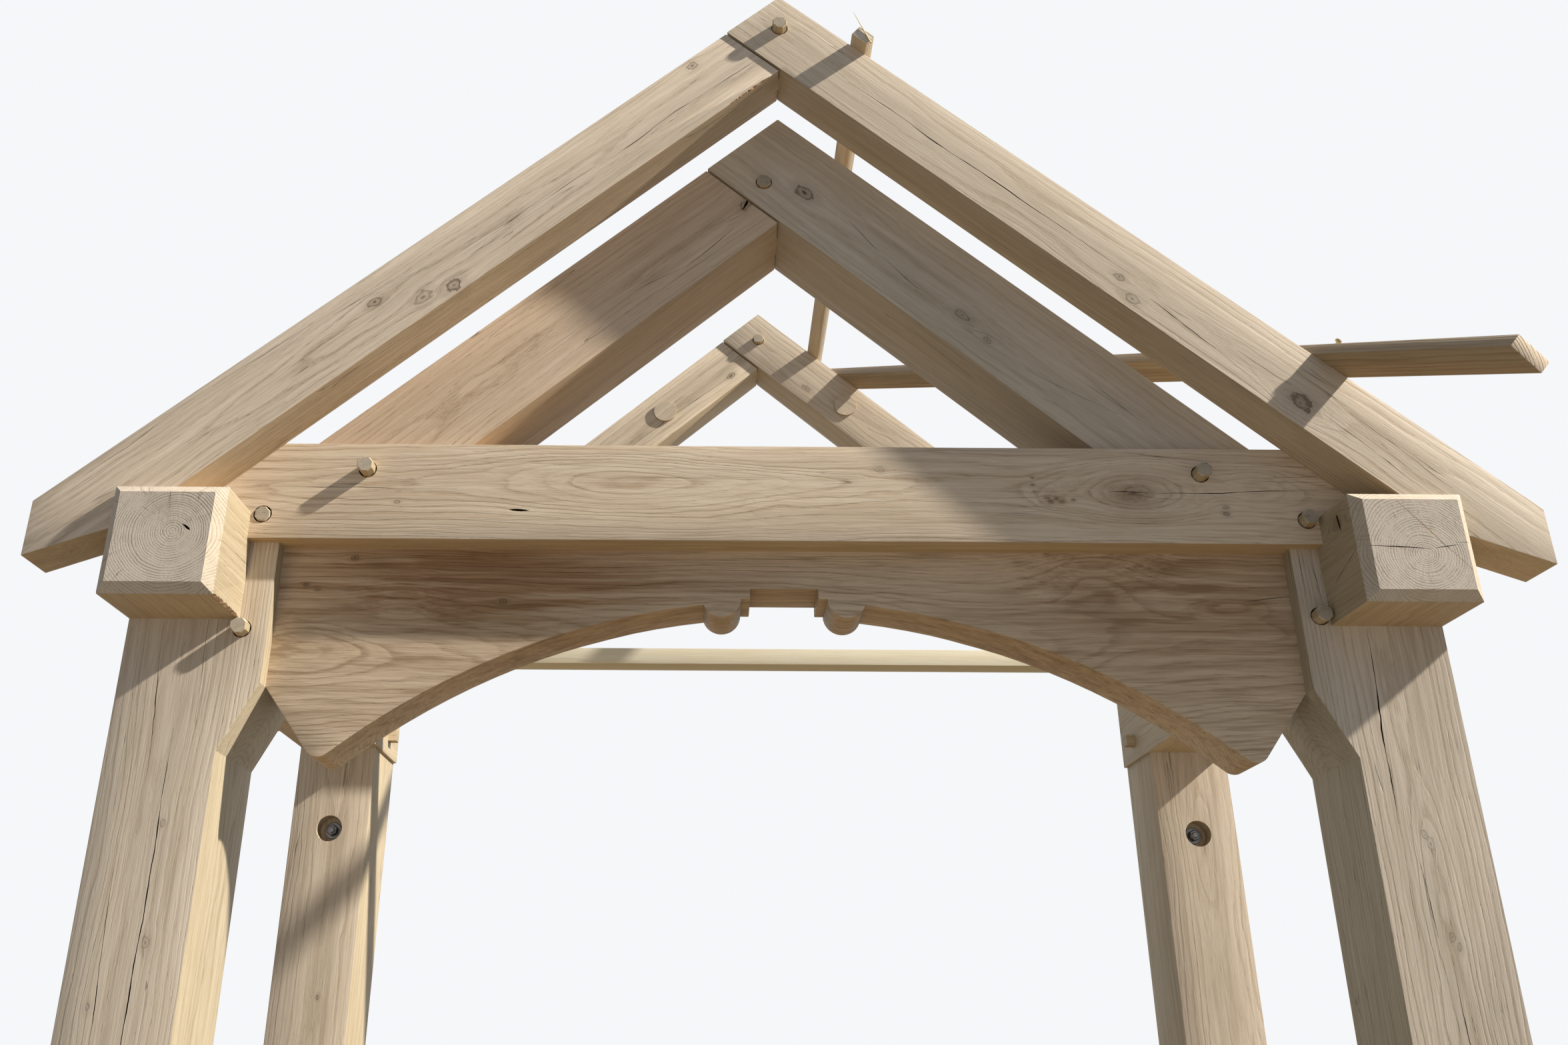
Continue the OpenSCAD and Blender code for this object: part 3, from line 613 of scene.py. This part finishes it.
def wall_bolt(node):
    """Six-sided nut and washer on a stud, at the bottom of a counterbore."""
    low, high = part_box(node)
    middle = (low + high) / 2
    front = (middle.x, low.y, middle.z)
    mesh = bmesh.new()
    pitch, turns = 1.75, 9
    stud = [(0.0, 4.6), (0.8, 5.9)]
    for k in range(turns):
        stud += [(1.2 + k * pitch, 5.0), (2.0 + k * pitch, 6.0)]
    stud.append(((high.y - low.y) / MM, 6.0))
    nut = [(4.0, 9.3), (5.4, 10.9), (14.0, 10.9)]
    washer = [(14.0, 15.4), (14.6, 16.0), (16.5, 16.0)]
    turned(mesh, front, (0, 1, 0), stud)
    turned(mesh, front, (0, 1, 0), nut, sides=6, turn=0.4)
    turned(mesh, front, (0, 1, 0), washer, sides=40)
    bmesh.ops.recalc_face_normals(mesh, faces=mesh.faces)
    dress(object_of(mesh, node + "_steel", [STEEL]), "steel", node)


def nail(name, foot, axis, stands, head=4.8, shank=1.5, tip=False):
    """A nail or screw that stands so many mm proud of its foot, its head or its tip outside."""
    mesh = bmesh.new()
    sunk = 16.0
    turned(mesh, foot, axis, [(-sunk, shank), (stands, 0.35 if tip else shank)])
    if head:
        turned(mesh, foot, axis, [(stands - 2.6, shank), (stands - 0.7, head), (stands, head)])
    bmesh.ops.recalc_face_normals(mesh, faces=mesh.faces)
    dress(object_of(mesh, name, [BRASSED]), "steel")


def post_lie(node, side):
    """Up a post, across its front face from the outer edge."""
    low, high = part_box(node)
    start = (low.x if side == LEFT else high.x, low.y, 0.0)
    return Lie(start, (0, 0, 1), (-side, 0, 0), (0, -1, 0))


def beam_lie(node):
    """Along a beam from the middle of the porch, and down its front face from the top."""
    low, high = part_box(node)
    return Lie((0, low.y, high.z), (1, 0, 0), (0, 0, -1), (0, -1, 0))


def plate_lie(node, side):
    """From a plate's front end to the wall, and down its inner face from the top."""
    low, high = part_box(node)
    start = (high.x if side == LEFT else low.x, low.y, high.z)
    return Lie(start, (0, 1, 0), (0, 0, -1), (-side, 0, 0))


def rafter_lie(kind, side):
    """Down a rafter from the ridge, and across its front face from the roof plane."""
    low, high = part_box(kind + ("_rafter_left" if side == LEFT else "_rafter_right"))
    ridge = (0, low.y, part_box(kind + "_rafter_right")[1].z)
    along = (side * math.cos(PITCH), 0, -math.sin(PITCH))
    across = (-side * math.sin(PITCH), 0, -math.cos(PITCH))
    return Lie(ridge, along, across, (0, -1, 0))


# The marks of each timber, in mm along it from its lie's start and across its show face:
# checks (start, end, across at the start, across at the end, width, maybe depth),
# swells of the grain (along, across, half length, half width, height),
# knots (along, across, radius, darkness) and stains (along, across, both reaches, strength).


def make_posts():
    oak = {"spacing": 4.6, "hairs": 0.5, "contrast": 1.2}
    # The front posts' grey is partly painted shade, deeper on the right post
    timber("front_post_left", post_lie("front_post_left", LEFT), pith=(70, 96), seed=11,
           checks=[(2096, 1880, 51, 63, 1.5), (1945, 1370, 88, 88, 1.9), (1790, 1200, 40, 54, 1.5),
                   (1100, 420, 76, 70, 1.8)], grey=0.3,
           knots=[(1816, 94, 4, 0.5), (1664, 97, 5, 0.45), (1586, 37, 4, 0.5)],
           swells=[(1560, 62, 260, 22, 8)], **oak)
    timber("front_post_right", post_lie("front_post_right", RIGHT), pith=(84, 90), seed=23,
           checks=[(2096, 1825, 108, 115, 1.9), (1775, 1680, 97, 92, 1.3),
                   (1660, 1240, 79, 76, 1.6), (980, 300, 70, 78, 1.7)], grey=0.5,
           knots=[(1811, 84, 4, 0.5), (1799, 78, 5, 0.4), (1681, 74, 5, 0.45), (1669, 67, 4, 0.5)],
           swells=[(1740, 78, 120, 20, 7), (1400, 60, 300, 24, 9)], **oak)
    timber("wall_post_left", post_lie("wall_post_left", LEFT), pith=(84, 140), seed=31,
           knots=[(1629, 89, 3, 0.8)], checks=[(1500, 900, 60, 66, 0.9)], **oak)
    timber("wall_post_right", post_lie("wall_post_right", RIGHT), pith=(60, 150), seed=37,
           checks=[(1350, 700, 70, 64, 0.9)], swells=[(1900, 70, 140, 30, 12)], **oak)


def make_plates():
    oak = {"spacing": 3.6, "wave": 3, "hairs": 0.5}
    node = "eaves_plate_left"
    low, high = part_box(node)
    plate = timber(node, plate_lie(node, LEFT), pith=(73, 62), seed=41,
                   checks=[(6, 20, 80, 79, 0.8), (19, 131, 78, 77, 0.9)], **oak)
    cut_checks(plate, beam_lie(node), [(-820, -808, 60, 69, 6.5)], SHADED_CHECK_WALLS)
    tear_arris(plate, (high.x, low.y + 12 * MM, low.z), (0, 1, 0), ((1, 0, 0), (0, 0, -1)),
               length=104, depth=3.4, seed=5)
    node = "eaves_plate_right"
    lie = plate_lie(node, RIGHT)
    plate = timber(node, lie, pith=(92, 84), seed=43, checks=[(8, 88, 78, 105, 2.0)],
                   swells=[(56, 30, 34, 26, 8)], knots=[(54, 28, 14, 0.7)], **oak)
    downwards = Lie(lie.start, lie.across, lie.along, lie.out)
    cut_checks(plate, downwards, [(14, 42, 51, 46, 8.0)], SHADED_CHECK_WALLS)
    cut_checks(plate, beam_lie(node), [
        (776, 862, 81, 86, 1.8), (868, 900, 84, 79, 1.2), (896, 932, 76, 73, 1.0),
        (838, 842, 139, 160, 1.2), (852, 856, 0, 22, 1.0)
    ], SHADED_CHECK_WALLS)
    cut_checks(plate, beam_lie(node), [(822, 921, 8, 127, 4.0, 1.4)], FRESH_WOOD)


def make_cross_beams():
    timber("tie_beam", beam_lie("tie_beam"), pith=(66, 128), seed=53, wave=7, hairs=0.4,
           contrast=1.2, light=toned(OAK_LIGHT, (1.06, 1.03, 0.99)),
           dark=toned(OAK_DARK, (1.02, 0.96, 0.90)),
           stains=[(494, 74, 30, 17, 0.7), (392, 84, 22, 9, 0.6)],
           checks=[(-771, -475, 69, 72, 1.0), (470, 534, 69, 72, 1.4), (538, 775, 73, 66, 1.7),
                   (-398, -368, 104, 105, 3.4)],
           swells=[(-230, 60, 170, 44, 22), (-40, 57, 105, 20, 9), (512, 73, 100, 44, 28),
                   (400, 84, 34, 14, 8), (690, 62, 50, 34, 12)],
           knots=[(512, 73, 20, 0.68), (380, 80, 2.6, 0.8), (386, 86, 3.2, 0.8),
                  (394, 81, 2.2, 0.9), (402, 86, 2.8, 0.7), (419, 83, 2.0, 0.9),
                  (139, 37, 5, 0.4), (-561, 93, 3, 0.7), (638, 94, 3, 0.7), (638, 104, 3.4, 0.9),
                  (362, 48, 1.6, 0.9), (362, 60, 1.8, 0.9), (363, 70, 1.5, 0.9)])
    timber("arch_board", beam_lie("arch_board"), pith=(150, 120), seed=61, wave=10, ripple=1.9,
           spacing=5.0, lean=(-0.03, 0.04), shortest=1.0, ease=1.4, figure=0.5, contrast=1.15,
           light=toned(OAK_LIGHT, (1.00, 0.93, 0.84)), dark=toned(OAK_DARK, (0.78, 0.69, 0.60)),
           checks=[(649, 735, 75, 64, 1.4)],
           # These stains darken the upper left and the right half: partly the board's own stain,
           # partly painted shade
           stains=[(-430, 50, 300, 80, 1.5), (560, 80, 280, 120, 0.8)],
           swells=[(448, 8, 84, 62, 28), (-676, 150, 70, 42, 14), (-548, 76, 46, 34, 12),
                   (-120, 30, 180, 26, 10), (640, 76, 60, 18, 8)],
           knots=[(-624, 14, 4, 0.8), (-690, 56, 3, 0.8), (-404, 79, 4, 0.8), (-672, 62, 3, 0.7)])


def make_rafters():
    lie = rafter_lie("barge", LEFT)
    barge = timber("barge_rafter_left", lie, pith=(66, 98), seed=71, spacing=3.9, hairs=0.5,
                   light=toned(OAK_LIGHT, (1.10, 1.08, 1.08)),
                   checks=[(108, 205, 74, 71, 1.2), (225, 420, 69, 69, 1.3),
                           (440, 560, 67, 63, 1.1), (590, 690, 62, 55, 1.0),
                           (800, 900, 29, 24, 0.9), (930, 1100, 16, 10, 0.9),
                           (1130, 1330, 9, 15, 0.9)],
                   knots=[(842, 45, 7, 0.8), (782, 85, 9, 0.6), (736, 98, 9, 0.9),
                          (200, 14, 7, 0.7)])
    tear_arris(barge, lie.at(118, 112), lie.along, (lie.across, lie.out),
               length=92, depth=1.8, seed=9)
    timber("barge_rafter_right", rafter_lie("barge", RIGHT), pith=(58, 104), seed=79, hairs=0.5,
           checks=[(196, 750, 61, 61, 1.7), (785, 905, 78, 84, 1.4), (930, 1020, 67, 64, 1.1),
                   (1080, 1230, 74, 84, 1.3), (1105, 1275, 48, 55, 1.2)],
           swells=[(1044, 80, 60, 22, 10)],
           knots=[(1044, 78, 12, 0.9), (730, 77, 6, 0.7), (766, 96, 8, 0.6)])
    timber("principal_rafter_left", rafter_lie("principal", LEFT), pith=(80, 130), seed=83,
           spacing=4.4, hairs=0.5, light=toned(OAK_LIGHT, (1.0, 0.93, 0.88)),
           dark=toned(OAK_DARK, (1.0, 0.90, 0.83)),
           checks=[(196, 300, 113, 120, 1.2), (310, 390, 116, 101, 1.1), (141, 162, 88, 97, 7.0)],
           knots=[(150, 92, 9, 0.8)])
    # Its grey is partly painted shade
    timber("principal_rafter_right", rafter_lie("principal", RIGHT), pith=(90, 140), seed=89,
           spacing=4.4, hairs=0.5, grey=0.5,
           checks=[(216, 290, 78, 92, 1.0), (300, 380, 95, 106, 1.0), (590, 740, 110, 80, 1.0)],
           knots=[(128, 83, 11, 0.85), (460, 98, 8, 0.6), (516, 108, 5, 0.6)])
    timber("wall_rafter_left", rafter_lie("wall", LEFT), pith=(60, 100), seed=97, hairs=0.5,
           light=toned(OAK_LIGHT, (1.12, 1.10, 1.06)),
           checks=[(158, 448, 80, 70, 1.3)], knots=[(155, 81, 6, 0.8)])
    timber("wall_rafter_right", rafter_lie("wall", RIGHT), pith=(56, 105), seed=101, hairs=0.5,
           checks=[(380, 460, 62, 46, 1.0)], knots=[(211, 78, 6, 0.5)])


def make_battens():
    pine = {"pores": 0.0, "slot": "softwood", "ease": 0.9, "spacing": 5.0, "wave": 3,
            "contrast": 1.1}
    low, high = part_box("ridge_batten")
    ridge = Lie((low.x, low.y, high.z), (0, 1, 0), (1, 0, 0), (0, 0, 1))
    timber("ridge_batten", ridge, pith=(-20, 60), seed=103, end_tone=0.9, **RIDGE_PINE, **pine)
    low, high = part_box("spreader_batten")
    spreader = Lie((0, low.y, high.z), (1, 0, 0), (0, 0, -1), (0, -1, 0))
    timber("spreader_batten", spreader, pith=(10, 90), seed=107, **SPREADER_PINE, **pine)
    timber("diagonal_brace", brace_lie(), pith=(10, 60), seed=109, grey=0.3, end_tone=1.4,
           **BRACE_PINE, **pine)


def brace_lie():
    """Along the diagonal brace, taken from its longest edge, and across its upper side."""
    mesh = solid_of("diagonal_brace")
    longest = max(mesh.edges, key=lambda e: e.calc_length())
    ends = sorted((v.co.copy() for v in longest.verts), key=lambda p: p.y)
    mesh.free()
    along = ends[1] - ends[0]
    out = Vector((math.sin(PITCH), 0, math.cos(PITCH)))
    return Lie(ends[0], along, out.cross(along), out)


def make_pegs():
    cleft_peg("barge_peg", 201)
    cleft_peg("principal_peg", 202)
    cleft_peg("wall_rafter_peg", 203)
    for number, side in enumerate(("left", "right")):
        for kind in ("foot_peg_", "tie_peg_", "head_peg_"):
            cleft_peg(kind + side, 210 + number * 7 + len(kind))
        low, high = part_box("plate_peg_" + side)
        inward = -1 if low.x > 0 else 1
        end = Vector((high.x if inward > 0 else low.x, low.y, high.z))
        lie = Lie(end, (-inward, 0, 0), (0, 1, 0), (0, 0, 1))
        timber("plate_peg_" + side, lie, ease=2.4, slot="peg_oak", pith=(8, 9), light=PEG_LIGHT,
               dark=PEG_DARK, seed=230 + number, spacing=2.6, wave=2)
        lie = rafter_lie("wall", LEFT if low.x < 0 else RIGHT)
        timber("rafter_plug_" + side, lie, ease=0.8, shortest=2.0, slot="peg_oak", pith=(40, 30),
               seed=240 + number)


def make_fixings():
    for side in ("left", "right"):
        wall_bolt("upper_bolt_" + side)
        wall_bolt("lower_bolt_" + side)
    off_slope = Vector((math.sin(PITCH), 0, math.cos(PITCH)))
    down_slope = Vector((math.cos(PITCH), 0, -math.sin(PITCH)))
    barge_low, barge_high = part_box("barge_rafter_right")
    wall_low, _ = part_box("wall_rafter_right")
    ridge = Vector((0, 0, barge_high.z))
    batten_low, batten_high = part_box("ridge_batten")
    foot = (batten_high.x - 12 * MM, batten_low.y - 1.2 * MM, batten_low.z + 16 * MM)
    nail("bent_nail", foot, (-0.40, -0.04, 0.92), 50, head=0, tip=True)
    # The name, the mm down the slope, the place in y, and the mm off the slope and above the batten
    screws = (
        ("batten_nail_front", 166, barge_low.y + 30 * MM, 20, 8),
        ("batten_nail_back", 166, wall_low.y + 40 * MM, 20, 3),
        ("brace_screw_front", 1032, barge_low.y - 19 * MM, 22, 7),
        ("brace_screw_back", 262, wall_low.y - 6 * MM, 22, 2),
    )
    for name, down, y, thickness, stands in screws:
        foot = ridge + (down_slope * down + off_slope * thickness) * MM
        foot.y = y
        nail(name, foot, off_slope, stands)


def make_camera():
    data = bpy.data.cameras.new("camera")
    data.sensor_width = SENSOR_MM
    data.lens = FOCAL_PX / IMAGE_W * SENSOR_MM
    data.shift_x = -CENTRE_SHIFT_PX[0] / IMAGE_W
    data.shift_y = CENTRE_SHIFT_PX[1] / IMAGE_W
    up, yaw, roll = (math.radians(a) for a in (LOOK_UP, LOOK_RIGHT, LOOK_ROLL))
    ahead = Vector((math.sin(yaw) * math.cos(up), math.cos(yaw) * math.cos(up), math.sin(up)))
    level = Vector((math.cos(yaw), -math.sin(yaw), 0))
    above = level.cross(ahead)
    across = level * math.cos(roll) + above * math.sin(roll)
    above = above * math.cos(roll) - level * math.sin(roll)
    camera = bpy.data.objects.new("camera", data)
    turn = Matrix((across, above, -ahead)).transposed().to_4x4()
    camera.matrix_world = Matrix.Translation(CAMERA_AT) @ turn
    bpy.context.collection.objects.link(camera)
    bpy.context.scene.camera = camera


def add_sun(name, strength, softness, toward, colour=(1.0, 1.0, 1.0)):
    """A distant lamp of that strength, whose light comes from the direction toward."""
    data = bpy.data.lights.new(name, "SUN")
    data.energy = strength
    data.angle = math.radians(softness)
    data.color = colour
    lamp = bpy.data.objects.new(name, data)
    lamp.rotation_mode = "QUATERNION"
    lamp.rotation_quaternion = Vector(toward).to_track_quat("Z", "Y")
    bpy.context.collection.objects.link(lamp)


def make_stage():
    """Pale floor, pale surroundings and plain soft light from the upper right."""
    bpy.ops.mesh.primitive_circle_add(vertices=96, radius=FLOOR_RADIUS, fill_type="NGON")
    floor = bpy.context.object
    floor.name = "floor"
    n = Nodes("pale_floor")
    seen = n.new("LightPath").outputs["Is Camera Ray"]
    tone = n.mix(seen, PAVING, PALE)
    n.surface({"Base Color": tone, "Roughness": 0.9, "Specular IOR Level": 0.1})
    floor.data.materials.append(n.material)

    world = bpy.data.worlds.new("studio")
    bpy.context.scene.world = world
    world.use_nodes = True
    tree = world.node_tree
    background = tree.nodes["Background"]
    seen = tree.nodes.new("ShaderNodeLightPath")
    pale = tree.nodes.new("ShaderNodeMix")
    pale.data_type = "RGBA"
    direct = tree.nodes.new("ShaderNodeMath")
    direct.operation = "MAXIMUM"
    tree.links.new(seen.outputs["Is Camera Ray"], direct.inputs[0])
    tree.links.new(seen.outputs["Is Glossy Ray"], direct.inputs[1])
    tree.links.new(direct.outputs[0], pale.inputs[0])
    pale.inputs[6].default_value = (*SKY, 1.0)
    pale.inputs[7].default_value = (*BACKDROP, 1.0)
    tree.links.new(pale.outputs[2], background.inputs["Color"])

    add_sun("key_light", SUN_STRENGTH, SUN_WIDTH_DEG, SUN_TOWARD, SUN_COLOUR)
    add_sun("back_light", BACK_STRENGTH, BACK_WIDTH_DEG, BACK_TOWARD)


make_camera()
make_stage()
# The checks' cut faces take this near-black: painted shade
SHADED_CHECK_WALLS = broken_material("inside_of_checks", CRACK_SHADE)
TORN_WOOD = broken_material("torn_wood", TORN)
FRESH_WOOD = broken_material("fresh_wood", FRESH)
STEEL = metal_material("zinc_plate", ZINC)
BRASSED = metal_material("yellow_zinc", YELLOW_ZINC)
TREES = {node: tree_of(node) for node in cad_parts}
make_posts()
make_plates()
make_cross_beams()
make_rafters()
make_battens()
make_pegs()
make_fixings()

bpy.context.scene.view_settings.view_transform = "Standard"
